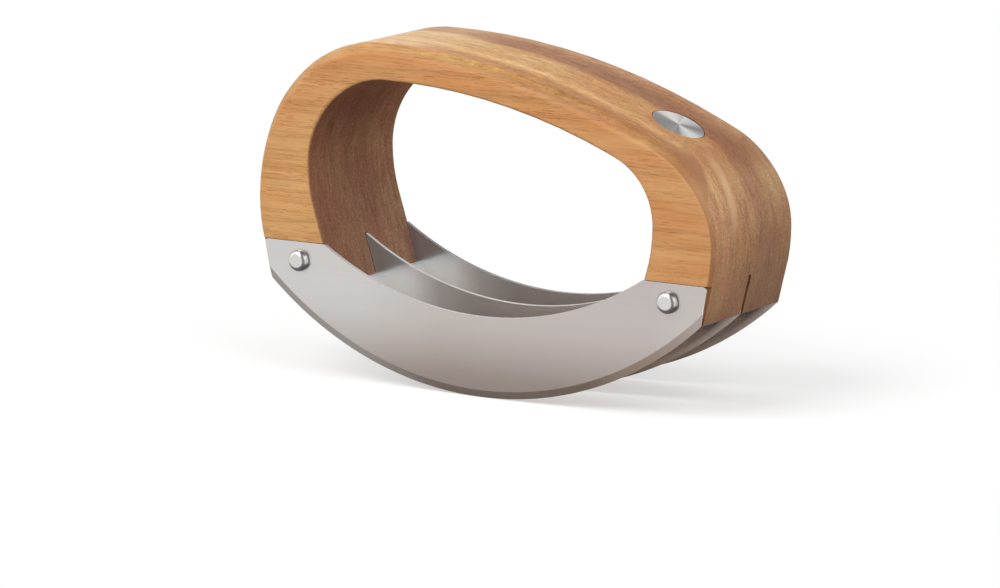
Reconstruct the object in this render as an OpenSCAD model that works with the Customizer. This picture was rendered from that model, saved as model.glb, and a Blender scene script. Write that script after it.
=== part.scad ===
// Mezzaluna: three parallel curved blades riveted to the legs of a one-piece wooden arch.
// The edges run along X and the blades are spaced along Y, with the front blade at -Y.
// The origin is on the surface that the edges stand on, below the middle of the middle blade.

/* [Blades] */
// Length of a blade along its straight top line
blade_length = 160; // [140:1:190]
// Depth of a blade from its top line down to the lowest point of its edge
blade_depth = 42.3; // [38:0.1:46]
// Width of a blade at its middle, between the hollow top edge and the cutting edge
blade_width = 25.3; // [20:0.1:28]
// Thickness of the blade steel
blade_thickness = 1.3; // [1:0.1:2]
// Height of a blade's slanted end, from the top line down to the cutting edge
end_height = 12.4; // [10.5:0.1:15]
// Lean of the blades' ends, in degrees
end_lean = 11; // [8:0.5:14]
// Length of the straight land at each end of a blade's top line
blade_land = 22.5; // [20:0.5:26]
// Height of the bevel ground on both sides of the cutting edge
bevel_height = 2.3; // [1.5:0.1:3.6]
// Thickness left at the very edge
edge_flat = 0.06; // [0.04:0.01:0.1]
// Radius of a blade's upper corners
blade_corner = 1.2; // [0.6:0.1:2]

/* [Handle] */
// Width of the handle, which is also the span between the outer blades' outer faces
handle_width = 48.6; // [44:0.2:56]
// How far the handle's sides stand out past the ends of the blades' top lines
handle_overhang = 2.3; // [1.9:0.1:3.6]
// Lean of the handle's sides beside the blades, in degrees
handle_lean = 14; // [11:0.5:16]
// Height of the crown above the blades' top lines
crown_height = 64.4; // [60:0.1:72]
// Thickness of the wood at the crown
crown_thickness = 11.1; // [9:0.1:13]
// How far the crown's highest point lies to the left of the middle
crown_shift = 39; // [32:0.5:42]
// Radius of the outer shoulder on the left, the high side
left_shoulder = 41; // [36:0.5:46]
// Radius of the outer shoulder on the right, the low side
right_shoulder = 32; // [26:0.5:38]
// Height of the left side's widest point above the blades' top lines
left_belly = 12.5; // [11:0.5:17]
// Height of the right side's widest point above the blades' top lines
right_belly = 11.5; // [10.5:0.5:16]
// Radius that leads from a side's widest point into its slanted foot
side_blend = 53; // [44:1:60]
// Rounding of the long outer edges along the grip
grip_edge = 4; // [3:0.1:5]
// Rounding of the long outer edges down at the feet
foot_edge = 1.6; // [1.2:0.1:2.4]
// Rounding of the legs' lower corners
foot_corner = 0.8; // [0.4:0.1:1.2]

/* [Finger opening] */
// How far the wood of a leg reaches past the land of the blades, into the opening
land_cover = -0.3; // [-1:0.1:0]
// Lean of the legs' inner faces, in degrees
inner_lean = 17.5; // [13:0.5:20]
// Radius that leads from a leg's inner face into the shoulder above it
inner_blend = 48; // [36:1:54]
// How far the opening's highest point lies to the left of the middle
opening_shift = 35; // [30:0.5:38]
// Radius of the opening's left shoulder
left_inner = 27.5; // [22:0.5:30]
// Radius of the opening's right shoulder
right_inner = 21.5; // [17:0.5:26]
// Height of the opening's widest point on the left above the blades' top lines
left_inner_belly = 24.5; // [21:0.5:27]
// Height of the opening's widest point on the right above the blades' top lines
right_inner_belly = 16.5; // [15:0.5:20]
// Rounding of the opening's edges
inner_edge = 1; // [0.6:0.1:1.6]

/* [Rivets] */
// Distance of a rivet from the nearer end of the blades' top lines
rivet_inset = 13.3; // [11:0.1:16]
// Distance of a rivet below the blades' top lines
rivet_drop = 5.8; // [5:0.1:6.5]
// Diameter of a rivet head
rivet_head = 6.9; // [6.4:0.1:7.2]
// Height of a rivet head
rivet_height = 2.4; // [2.1:0.1:3]
// Diameter of the flat on top of a rivet head
rivet_flat = 3.5; // [3.2:0.1:4.2]
// Outer diameter of the rivet sleeve
sleeve_diameter = 4; // [3.6:0.1:4.6]
// Wall of the rivet sleeve
sleeve_wall = 0.75; // [0.5:0.05:0.9]

/* [Disc] */
// Diameter of the steel disc let into the crown
disc_diameter = 17; // [14:0.5:20]
// Thickness of the disc
disc_thickness = 1.5; // [1:0.1:2]
// Tilt of the disc from level, which sets its place along the sloping crown, in degrees
disc_tilt = 24; // [21:0.2:24.6]
// Width of the break around the disc's upper rim
disc_break = 0.3; // [0.2:0.05:0.5]

/* [Fits] */
// Gap above the blades' top lines and on each side of the middle blade in its slot
slot_gap = 0.15; // [0.1:0.05:0.25]
// Gap around the rivets in their bores, measured on the radius
bore_gap = 0.1; // [0.05:0.05:0.2]
// Gap between a rivet's pin and its sleeve, measured on the radius
pin_gap = 0.05; // [0.03:0.01:0.1]
// Gap left between the sleeve's end and the rear rivet head
sleeve_end_gap = 0.4; // [0.2:0.1:0.8]
// Gap around the disc in its recess, measured on the radius
disc_gap = 0.15; // [0.1:0.05:0.3]
// Depth of the disc's face below the wood
disc_sink = 0.1; // [0.05:0.05:0.3]

/* [Hidden] */
$fn = 180;

// Heights are measured from the standing surface, and half sizes from the middle
seat_z = blade_depth;
half_width = handle_width / 2;
half_blade = blade_length / 2;
side_x = half_blade + handle_overhang;
opening_x = half_blade - blade_land - land_cover;
opening_height = crown_height - crown_thickness;

// The cutting edge is one arc through both lower corners and the lowest point
edge_chord = half_blade - end_height * tan(end_lean);
edge_rise = blade_depth - end_height;
edge_radius = (pow(edge_chord, 2) + pow(edge_rise, 2)) / (2 * edge_rise);

// The hollow top edge is one arc between the two lands
hollow_chord = half_blade - blade_land;
hollow_sag = blade_depth - blade_width;
hollow_radius = (pow(hollow_chord, 2) + pow(hollow_sag, 2)) / (2 * hollow_sag);

rivet_x = half_blade - rivet_inset;
rivet_z = seat_z - rivet_drop;
sleeve_bore = sleeve_diameter - 2 * sleeve_wall;
pin_diameter = sleeve_bore - 2 * pin_gap;
pin_length = 0.7 * handle_width;

// Shares of a shoulder's limiting span, and of the turn over which the edge rounding grows
shoulder_limit = 0.95;
ramp_start = 5;
ramp_turn = 45;

// Steps of the handle's loft
foot_steps = 3;
blend_steps = 4;
quarter_steps = 36;
outer_corner_steps = 6;
inner_corner_steps = 3;
past = 1;

// The larger radius of a quarter oval that spans reach sideways and rise upwards.
// Its smaller radius lies at the side of a wide quarter, and at the top of a tall one.
function small_radius(reach, rise, tight) = min(tight, shoulder_limit * min(reach, rise));
function large_radius(reach, rise, r) =
    reach >= rise
        ? (pow(reach - r, 2) + rise * rise - r * r) / (2 * (rise - r))
        : (reach * reach + pow(rise - r, 2) - r * r) / (2 * (reach - r));

// The point of a quarter oval where its outward normal stands at angle a above level
function oval_point(reach, rise, tight, a) =
    let (
        r = small_radius(reach, rise, tight),
        big = large_radius(reach, rise, r),
        wide = reach >= rise,
        turn = wide ? atan2(big - rise, reach - r) : atan2(rise - r, big - reach)
    )
    wide
        ? (a <= turn ? [reach - r + r * cos(a), r * sin(a)] : [big * cos(a), rise - big + big * sin(a)])
        : (a <= turn ? [reach - big + big * cos(a), big * sin(a)] : [r * cos(a), rise - r + r * sin(a)]);

// How far a side's widest point stands out from its slanted line at the height of the blades' top lines
function belly_reach(lean, blend, belly) =
    blend * (1 - cos(lean)) + (belly - blend * sin(lean)) * tan(lean);

// One side of an outline from the foot up to the top: rounded foot, slant, blend, then the quarter oval.
// Distances are measured outwards from the middle and upwards from the blades' top lines.
function side_outline(x, belly, lean, blend, top_x, top, tight) =
    let (
        start = [x - blend * (1 - cos(lean)), belly - blend * sin(lean)],
        foot = [start[0] - (start[1] + end_height) * tan(lean), -end_height],
        round = foot + foot_corner * [tan(lean) - 1 / cos(lean), 1]
    )
    concat(
        [for (i = [0:foot_steps])
            let (a = -90 + (90 - lean) * i / foot_steps)
            round + foot_corner * [cos(a), sin(a)]],
        [for (i = [0:blend_steps - 1])
            let (a = -lean * (1 - i / blend_steps))
            [x - blend + blend * cos(a), belly + blend * sin(a)]],
        [for (i = [0:quarter_steps])
            [top_x, belly] + oval_point(x - top_x, top - belly, tight, 90 * i / quarter_steps)]
    );

// Rounding of the outer edge at each station of one side, from the foot up to the top
function ramp(t) = let (u = min(1, max(0, t))) u * u * (3 - 2 * u);
side_edges = concat(
    [for (i = [0:foot_steps + blend_steps]) foot_edge],
    [for (i = [0:quarter_steps])
        foot_edge + (grip_edge - foot_edge) * ramp((90 * i / quarter_steps - ramp_start) / ramp_turn)]
);

function reversed(list) = [for (i = [len(list) - 1:-1:0]) list[i]];
function without_last(list) = [for (i = [0:len(list) - 2]) list[i]];
function mirrored(list) = [for (p = list) [-p[0], p[1]]];

// An arch outline runs from the right foot over the crown to the left foot
function arch(right, left) = concat(without_last(right), reversed(mirrored(left)));

outer_outline = arch(
    side_outline(side_x, right_belly, handle_lean, side_blend, -crown_shift, crown_height, right_shoulder),
    side_outline(side_x, left_belly, handle_lean, side_blend, crown_shift, crown_height, left_shoulder)
);
inner_outline = arch(
    side_outline(opening_x + belly_reach(inner_lean, inner_blend, right_inner_belly), right_inner_belly,
        inner_lean, inner_blend, -opening_shift, opening_height, right_inner),
    side_outline(opening_x + belly_reach(inner_lean, inner_blend, left_inner_belly), left_inner_belly,
        inner_lean, inner_blend, opening_shift, opening_height, left_inner)
);
outer_edges = concat(without_last(side_edges), reversed(side_edges));

// A rounded corner of the handle's section, as [depth into the wood, place across the width]
function corner(centre, r, from, steps) =
    [for (k = [0:steps]) centre + r * [cos(from + 90 * k / steps), sin(from + 90 * k / steps)]];

// The handle's section at a station: large rounds at the outer face, small ones at the opening
function section(depth, outer_r, inner_r) =
    concat(
        corner([outer_r, outer_r - half_width], outer_r, 180, outer_corner_steps),
        corner([depth - inner_r, inner_r - half_width], inner_r, 270, inner_corner_steps),
        corner([depth - inner_r, half_width - inner_r], inner_r, 0, inner_corner_steps),
        corner([outer_r, half_width - outer_r], outer_r, 90, outer_corner_steps)
    );

// A section placed between an outer and an inner point of the two outlines
function placed_section(p, q, outer_r) =
    let (depth = norm(q - p), into = (q - p) / depth)
    [for (s = section(depth, outer_r, inner_edge))
        let (c = p + s[0] * into) [c[0], s[1], seat_z + c[1]]];

module arch_solid() {
    stations = len(outer_outline);
    ring = 2 * (outer_corner_steps + inner_corner_steps + 2);
    rings = [for (i = [0:stations - 1]) placed_section(outer_outline[i], inner_outline[i], outer_edges[i])];
    points = [for (r = rings) for (p = r) p];
    sides = [for (i = [0:stations - 2]) for (j = [0:ring - 1])
        let (k = (j + 1) % ring, a = i * ring, b = a + ring)
        for (face = [[a + j, a + k, b + k], [a + j, b + k, b + j]]) face];
    first_end = [for (j = [ring - 1:-1:0]) j];
    last_end = [for (j = [0:ring - 1]) (stations - 1) * ring + j];
    polyhedron(points, concat(sides, [first_end, last_end]), convexity = 6);
}

// Points its children's Z axis along +Y
module along_y() {
    rotate([-90, 0, 0]) children();
}

// Places its children at both rivets
module at_rivets() {
    for (x = [-rivet_x, rivet_x])
        translate([x, 0, rivet_z]) along_y() children();
}

// Places its children on the crown with Z out of the wood, where the crown's normal has the disc's tilt
module on_crown() {
    spot = [-crown_shift, right_belly]
        + oval_point(side_x + crown_shift, crown_height - right_belly, right_shoulder, 90 - disc_tilt);
    translate([spot[0], 0, seat_z + spot[1]]) rotate([0, disc_tilt, 0]) children();
}

// The outer blades lie flush in rebates, and the middle one in a slot through both legs
module blade_seats() {
    long = 2 * side_x + 2 * past;
    tall = end_height + past + slot_gap;
    slot = blade_thickness + 2 * slot_gap;
    bottom = seat_z + slot_gap - tall;
    for (y = [-half_width - past, half_width - blade_thickness])
        translate([-long / 2, y, bottom]) cube([long, blade_thickness + past, tall]);
    translate([-long / 2, -slot / 2, bottom]) cube([long, slot, tall]);
}

module handle() {
    color([0.66, 0.44, 0.26]) difference() {
        arch_solid();
        blade_seats();
        at_rivets() cylinder(d = sleeve_diameter + 2 * bore_gap, h = handle_width + 2 * past, center = true);
        on_crown() translate([0, 0, -disc_thickness - disc_sink])
            cylinder(d = disc_diameter + 2 * disc_gap, h = disc_thickness + disc_sink + past);
    }
}

// A disc with its rim ground to an edge from both sides
module ground_disc() {
    half = blade_thickness / 2;
    along_y() rotate_extrude() polygon([
        [0, -half], [edge_radius - bevel_height, -half], [edge_radius, -edge_flat / 2],
        [edge_radius, edge_flat / 2], [edge_radius - bevel_height, half], [0, half]
    ]);
}

// A plate with the blade's slanted ends and rounded upper corners, which reaches down past the edge
module blade_plate(deep) {
    tangent = blade_corner / tan((90 - end_lean) / 2);
    narrow = blade_depth * tan(end_lean);
    end_cut = tangent * [sin(end_lean), cos(end_lean)];
    linear_extrude(deep, center = true) polygon([
        [tangent - half_blade, 0], [half_blade - tangent, 0],
        [half_blade - end_cut[0], -end_cut[1]], [half_blade - narrow, -blade_depth],
        [narrow - half_blade, -blade_depth], [end_cut[0] - half_blade, -end_cut[1]]
    ]);
    for (x = [tangent - half_blade, half_blade - tangent])
        translate([x, -blade_corner]) cylinder(r = blade_corner, h = deep, center = true);
}

module blade(y) {
    deep = blade_thickness + 2 * past;
    color([0.78, 0.77, 0.75]) translate([0, y, 0]) difference() {
        intersection() {
            translate([0, 0, edge_radius]) ground_disc();
            translate([0, 0, seat_z]) rotate([90, 0, 0]) blade_plate(deep);
        }
        translate([0, 0, seat_z - hollow_sag + hollow_radius]) along_y()
            cylinder(r = hollow_radius, h = deep, center = true);
        at_rivets() cylinder(d = sleeve_diameter + 2 * bore_gap, h = deep, center = true);
    }
}

module front_blade() {
    blade((blade_thickness - handle_width) / 2);
}

module middle_blade() {
    blade(0);
}

module rear_blade() {
    blade((handle_width - blade_thickness) / 2);
}

// A rivet head that stands on z = 0: straight foot, round shoulder and flat top
module rivet_head_solid() {
    shoulder = (rivet_head - rivet_flat) / 2;
    rotate_extrude() {
        square([rivet_flat / 2, rivet_height]);
        square([rivet_head / 2, rivet_height - shoulder]);
        translate([rivet_flat / 2, rivet_height - shoulder]) intersection() {
            circle(r = shoulder);
            square(shoulder);
        }
    }
}

// The front half of a rivet: a head on a sleeve that runs through blades and wood
module rivet_sleeve(x) {
    color([0.82, 0.82, 0.81]) translate([x, -half_width, rivet_z]) {
        along_y() difference() {
            cylinder(d = sleeve_diameter, h = handle_width - sleeve_end_gap);
            cylinder(d = sleeve_bore, h = handle_width);
        }
        along_y() mirror([0, 0, 1]) rivet_head_solid();
    }
}

// The rear half of a rivet: a head on a pin that is pressed into the sleeve
module rivet_pin(x) {
    color([0.82, 0.82, 0.81]) translate([x, half_width, rivet_z]) along_y() {
        rivet_head_solid();
        mirror([0, 0, 1]) cylinder(d = pin_diameter, h = pin_length);
    }
}

module left_rivet_sleeve() {
    rivet_sleeve(-rivet_x);
}

module right_rivet_sleeve() {
    rivet_sleeve(rivet_x);
}

module left_rivet_pin() {
    rivet_pin(-rivet_x);
}

module right_rivet_pin() {
    rivet_pin(rivet_x);
}

// The bare steel disc, seated on the floor of its recess
module crown_disc() {
    color([0.8, 0.8, 0.8]) on_crown() translate([0, 0, -disc_thickness - disc_sink]) {
        cylinder(d = disc_diameter, h = disc_thickness - disc_break);
        translate([0, 0, disc_thickness - disc_break])
            cylinder(d1 = disc_diameter, d2 = disc_diameter - 2 * disc_break, h = disc_break);
    }
}

handle();
front_blade();
middle_blade();
rear_blade();
left_rivet_sleeve();
right_rivet_sleeve();
left_rivet_pin();
right_rivet_pin();
crown_disc();
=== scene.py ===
import math

import bmesh
import bpy
from bpy.props import FloatProperty, FloatVectorProperty, PointerProperty
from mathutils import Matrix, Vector


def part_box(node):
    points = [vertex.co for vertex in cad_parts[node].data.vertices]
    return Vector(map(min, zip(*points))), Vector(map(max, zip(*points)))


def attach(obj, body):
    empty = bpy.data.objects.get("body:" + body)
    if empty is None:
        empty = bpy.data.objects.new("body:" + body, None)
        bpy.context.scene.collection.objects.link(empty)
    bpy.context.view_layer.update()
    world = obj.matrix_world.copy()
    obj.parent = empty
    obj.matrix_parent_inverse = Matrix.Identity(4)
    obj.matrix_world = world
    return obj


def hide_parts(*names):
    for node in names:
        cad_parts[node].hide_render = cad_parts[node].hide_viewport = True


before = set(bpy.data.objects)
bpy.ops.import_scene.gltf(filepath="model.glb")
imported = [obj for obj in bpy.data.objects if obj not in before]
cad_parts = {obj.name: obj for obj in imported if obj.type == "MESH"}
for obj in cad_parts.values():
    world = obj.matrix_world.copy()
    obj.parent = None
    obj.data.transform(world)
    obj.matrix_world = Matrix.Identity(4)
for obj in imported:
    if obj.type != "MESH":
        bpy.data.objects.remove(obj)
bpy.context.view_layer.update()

bl_info = {
    "name": "Mezzaluna",
    "version": (1, 0, 0),
    "blender": (4, 5, 0),
    "location": "View3D > Sidebar > Mezzaluna",
    "description": "Builds a mezzaluna with three blades and an arched wooden handle",
    "category": "Object",
}

MM = 0.001
ARC_STEPS = 960  # Steps of a full circle for the blades' large arcs


# Settings

class BladeSettings(bpy.types.PropertyGroup):
    """Sizes and steel of the three blades"""

    half_length: FloatProperty(
        name="Half length", description="Half the length of a blade's straight top line",
        default=80 * MM, unit="LENGTH", precision=5)
    depth: FloatProperty(
        name="Depth", description="Height of the top line above the lowest point of the edge",
        default=42.3 * MM, unit="LENGTH", precision=5)
    thickness: FloatProperty(
        name="Thickness", description="Thickness of the steel",
        default=1.3 * MM, unit="LENGTH", precision=5)
    pitch: FloatProperty(
        name="Pitch", description="Distance between neighbouring blades, middle to middle",
        default=23.65 * MM, unit="LENGTH", precision=5)
    edge_radius: FloatProperty(
        name="Edge radius", description="Radius of the cutting edge's arc",
        default=115.62 * MM, unit="LENGTH", precision=5)
    hollow_radius: FloatProperty(
        name="Hollow radius", description="Radius of the hollow top edge",
        default=105.74 * MM, unit="LENGTH", precision=5)
    hollow_sag: FloatProperty(
        name="Hollow sag", description="Depth of the hollow top edge below the top line",
        default=17.0 * MM, unit="LENGTH", precision=5)
    bevel_height: FloatProperty(
        name="Bevel height", description="Height of the ground bevel along the cutting edge",
        default=2.3 * MM, unit="LENGTH", precision=5)
    end_lean: FloatProperty(
        name="End lean", description="Lean of the blade's ends",
        default=math.radians(11), unit="ROTATION")
    corner: FloatProperty(
        name="Corner", description="Rounding of the two upper corners",
        default=1.2 * MM, unit="LENGTH", precision=5)
    colour: FloatVectorProperty(
        name="Steel", description="Colour of the brushed steel",
        default=(0.62, 0.605, 0.59), subtype="COLOR", min=0, max=1)
    # Partly the ground finish, partly a painted reflection of a dark surface below
    ground_and_reflection_colour: FloatVectorProperty(
        name="Ground steel", description="Colour of the ground bevel",
        default=(0.30, 0.28, 0.26), subtype="COLOR", min=0, max=1)
    rim_colour: FloatVectorProperty(
        name="Polished rim", description="Colour of the polished narrow sides",
        default=(0.52, 0.50, 0.485), subtype="COLOR", min=0, max=1)


class WoodSettings(bpy.types.PropertyGroup):
    """Colours of the handle's wood, by growth layer from the front to the back"""

    golden: FloatVectorProperty(
        name="Golden", description="Golden wood of the front layers",
        default=(0.67, 0.337, 0.138), subtype="COLOR", min=0, max=1)
    pale: FloatVectorProperty(
        name="Pale", description="Pale stripe behind the front layers",
        default=(0.69, 0.405, 0.178), subtype="COLOR", min=0, max=1)
    tan: FloatVectorProperty(
        name="Tan", description="Tan wood of the middle layers",
        default=(0.565, 0.32, 0.124), subtype="COLOR", min=0, max=1)
    brown: FloatVectorProperty(
        name="Brown", description="Brown wood of the rear layers",
        default=(0.305, 0.133, 0.057), subtype="COLOR", min=0, max=1)
    russet: FloatVectorProperty(
        name="Russet", description="Reddish wood of the last layers",
        default=(0.51, 0.285, 0.158), subtype="COLOR", min=0, max=1)
    edge_break: FloatProperty(
        name="Edge break", description="Softening of the sawn edges",
        default=0.35 * MM, unit="LENGTH", precision=5)


class FittingSettings(bpy.types.PropertyGroup):
    """Sizes and steel of the rivets and the disc"""

    head_diameter: FloatProperty(
        name="Head diameter", description="Diameter of a rivet head",
        default=6.9 * MM, unit="LENGTH", precision=5)
    head_height: FloatProperty(
        name="Head height", description="Height of a rivet head",
        default=2.4 * MM, unit="LENGTH", precision=5)
    flat_diameter: FloatProperty(
        name="Flat diameter", description="Diameter of the flat on a rivet head",
        default=3.5 * MM, unit="LENGTH", precision=5)
    rivet_x: FloatProperty(
        name="Rivet place", description="Distance of a rivet from the middle",
        default=66.7 * MM, unit="LENGTH", precision=5)
    rivet_z: FloatProperty(
        name="Rivet height", description="Height of a rivet above the standing surface",
        default=36.5 * MM, unit="LENGTH", precision=5)
    disc_tilt: FloatProperty(
        name="Disc tilt", description="Tilt of the disc from level",
        default=math.radians(24), unit="ROTATION")
    colour: FloatVectorProperty(
        name="Steel", description="Colour of the rivets",
        default=(0.67, 0.655, 0.635), subtype="COLOR", min=0, max=1)
    # Used for the seam's dirt and painted contact shadow, and for painted shade on the underside of a head
    seam_and_shade_colour: FloatVectorProperty(
        name="Seam", description="Colour of the seam around a rivet head's foot",
        default=(0.10, 0.088, 0.08), subtype="COLOR", min=0, max=1)
    disc_colour: FloatVectorProperty(
        name="Disc steel", description="Colour of the spun disc",
        default=(0.68, 0.67, 0.65), subtype="COLOR", min=0, max=1)


class StageSettings(bpy.types.PropertyGroup):
    """Floor, lights and camera"""

    floor_colour: FloatVectorProperty(
        name="Floor", description="Colour of the floor",
        default=(0.97, 0.97, 0.97), subtype="COLOR", min=0, max=1)
    floor_bounce: FloatVectorProperty(
        name="Floor bounce", description="Colour of the light that the floor throws back",
        default=(0.16, 0.14, 0.125), subtype="COLOR", min=0, max=1)
    key_power: FloatProperty(
        name="Key power", description="Power of the large lamp above the front",
        default=17.5, unit="POWER", min=0)
    fill_power: FloatProperty(
        name="Fill power", description="Power of the lamp at the left",
        default=3.0, unit="POWER", min=0)
    side_power: FloatProperty(
        name="Side power", description="Power of the lamp above the right",
        default=11.0, unit="POWER", min=0)
    world_strength: FloatProperty(
        name="World strength", description="Strength of the even light from all round",
        default=0.62, min=0)
    lens: FloatProperty(
        name="Lens", description="Focal length of the camera",
        default=197.69, unit="CAMERA", min=1)
    camera_place: FloatVectorProperty(
        name="Camera place", description="Place of the camera",
        default=(0.883539, -1.420241, 0.347231), subtype="TRANSLATION", unit="LENGTH", precision=5)
    camera_turn: FloatVectorProperty(
        name="Camera turn", description="Turn of the camera",
        default=[math.radians(v) for v in (79.20886, 0.08438, 32.10565)], subtype="EULER", unit="ROTATION")


# Helpers for modelling

def deselect_all():
    if bpy.context.object and bpy.context.object.mode != "OBJECT":
        bpy.ops.object.mode_set(mode="OBJECT")
    bpy.ops.object.select_all(action="DESELECT")


def make_active(obj):
    deselect_all()
    obj.select_set(True)
    bpy.context.view_layer.objects.active = obj


def finish_place(obj, name):
    """Names the object and leaves it at the origin, unturned and unscaled, with its place in its mesh"""
    obj.name = name
    obj.data.name = name
    make_active(obj)
    bpy.ops.object.transform_apply(location=True, rotation=True, scale=True)


def add_cylinder(vertices, radius, depth, place, turn=(math.pi / 2, 0, 0)):
    """Adds a cylinder, which lies along y unless another turn is given"""
    bpy.ops.mesh.primitive_cylinder_add(
        vertices=vertices, radius=radius, depth=depth, location=place, rotation=turn)
    return bpy.context.object


def select(obj, kind, wanted):
    """In edit mode, selects just the faces or edges that the test accepts"""
    bpy.ops.mesh.select_mode(type=kind)
    bpy.ops.mesh.select_all(action="DESELECT")
    mesh = bmesh.from_edit_mesh(obj.data)
    for item in mesh.faces if kind == "FACE" else mesh.edges:
        item.select_set(bool(wanted(item)))
    bmesh.update_edit_mesh(obj.data)


def fold(edge):
    """Angle between an edge's two faces, or 0 at a border"""
    return edge.calc_face_angle(0.0) if len(edge.link_faces) == 2 else 0.0


def cut(point, normal):
    """In edit mode, cuts away what lies past a plane, and closes the cut"""
    bpy.ops.mesh.select_all(action="SELECT")
    bpy.ops.mesh.bisect(plane_co=point, plane_no=normal, use_fill=True, clear_outer=True)


def carve(obj, cutter):
    """Takes the cutter out of the object, and deletes the cutter"""
    modifier = obj.modifiers.new("Carve", "BOOLEAN")
    modifier.operation = "DIFFERENCE"
    modifier.solver = "EXACT"
    modifier.object = cutter
    make_active(obj)
    bpy.ops.object.modifier_apply(modifier=modifier.name)
    bpy.data.objects.remove(cutter, do_unlink=True)


def smooth(obj, degrees):
    """Smooth shading up to an angle, with flat faces kept flat"""
    make_active(obj)
    bpy.ops.object.shade_smooth_by_angle(angle=math.radians(degrees))
    weighted = obj.modifiers.new("Weighted", "WEIGHTED_NORMAL")
    weighted.weight = 60
    weighted.keep_sharp = True
    bpy.ops.object.modifier_apply(modifier=weighted.name)


# Helpers for materials

def new_material(name):
    material = bpy.data.materials.new(name)
    material.use_nodes = True
    material.node_tree.nodes.clear()
    return material


def add_node(tree, kind, place, **values):
    node = tree.nodes.new(kind)
    node.location = place
    for key, value in values.items():
        setattr(node, key, value)
    return node


def set_inputs(node, **values):
    for key, value in values.items():
        node.inputs[key.replace("_", " ")].default_value = value


def ramp(tree, place, stops):
    node = add_node(tree, "ShaderNodeValToRGB", place)
    elements = node.color_ramp.elements
    while len(elements) > 1:
        elements.remove(elements[-1])
    elements[0].position = stops[0][0]
    elements[0].color = (*stops[0][1], 1)
    for position, colour in stops[1:]:
        element = elements.new(position)
        element.color = (*colour, 1)
    return node


def grey(value):
    return (value, value, value)


def toned(tree, place, factor, stops):
    """Colour ramp driven by a value"""
    node = ramp(tree, place, stops)
    tree.links.new(factor, node.inputs["Fac"])
    return node.outputs["Color"]


def maths(tree, operation, place, *values):
    """Math node fed by numbers and sockets"""
    node = add_node(tree, "ShaderNodeMath", place, operation=operation)
    for i, value in enumerate(values):
        if isinstance(value, (int, float)):
            node.inputs[i].default_value = value
        else:
            tree.links.new(value, node.inputs[i])
    return node.outputs[0]


def eased(tree, place, value, low, high, top=1.0):
    """Smooth step from 0 at low to top at high"""
    node = add_node(tree, "ShaderNodeMapRange", place, interpolation_type="SMOOTHSTEP")
    set_inputs(node, From_Min=low, From_Max=high, To_Max=top)
    tree.links.new(value, node.inputs["Value"])
    return node.outputs[0]


def mixed(tree, kind, place, factor, first, second):
    """Mix node for colours, fed by numbers, colours and sockets"""
    node = add_node(tree, "ShaderNodeMix", place, data_type="RGBA", blend_type=kind)
    for socket, value in (("Factor", factor), ("A", first), ("B", second)):
        if isinstance(value, (int, float)):
            node.inputs[socket].default_value = value
        elif isinstance(value, tuple):
            node.inputs[socket].default_value = (*value, 1)
        else:
            tree.links.new(value, node.inputs[socket])
    return node.outputs["Result"]


def brushed_group():
    """Node group: fine brushing lines across a mapped direction, as a mask and a normal"""
    tree = bpy.data.node_groups.new("Brushing", "ShaderNodeTree")
    tree.interface.new_socket("Scale", in_out="INPUT", socket_type="NodeSocketVector")
    tree.interface.new_socket("Strength", in_out="INPUT", socket_type="NodeSocketFloat")
    tree.interface.new_socket("Mask", in_out="OUTPUT", socket_type="NodeSocketFloat")
    tree.interface.new_socket("Normal", in_out="OUTPUT", socket_type="NodeSocketVector")
    source = add_node(tree, "NodeGroupInput", (-800, 0))
    sink = add_node(tree, "NodeGroupOutput", (400, 0))
    coords = add_node(tree, "ShaderNodeTexCoord", (-800, -200))
    scaled = add_node(tree, "ShaderNodeVectorMath", (-600, 0), operation="MULTIPLY")
    fine = add_node(tree, "ShaderNodeTexNoise", (-400, 0))
    set_inputs(fine, Scale=1.0, Detail=4.0, Roughness=0.7)
    bump = add_node(tree, "ShaderNodeBump", (0, -150))
    set_inputs(bump, Distance=0.00002)
    tree.links.new(coords.outputs["Object"], scaled.inputs[0])
    tree.links.new(source.outputs["Scale"], scaled.inputs[1])
    tree.links.new(scaled.outputs[0], fine.inputs["Vector"])
    tree.links.new(fine.outputs["Fac"], bump.inputs["Height"])
    tree.links.new(source.outputs["Strength"], bump.inputs["Strength"])
    tree.links.new(fine.outputs["Fac"], sink.inputs["Mask"])
    tree.links.new(bump.outputs["Normal"], sink.inputs["Normal"])
    return tree


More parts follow.
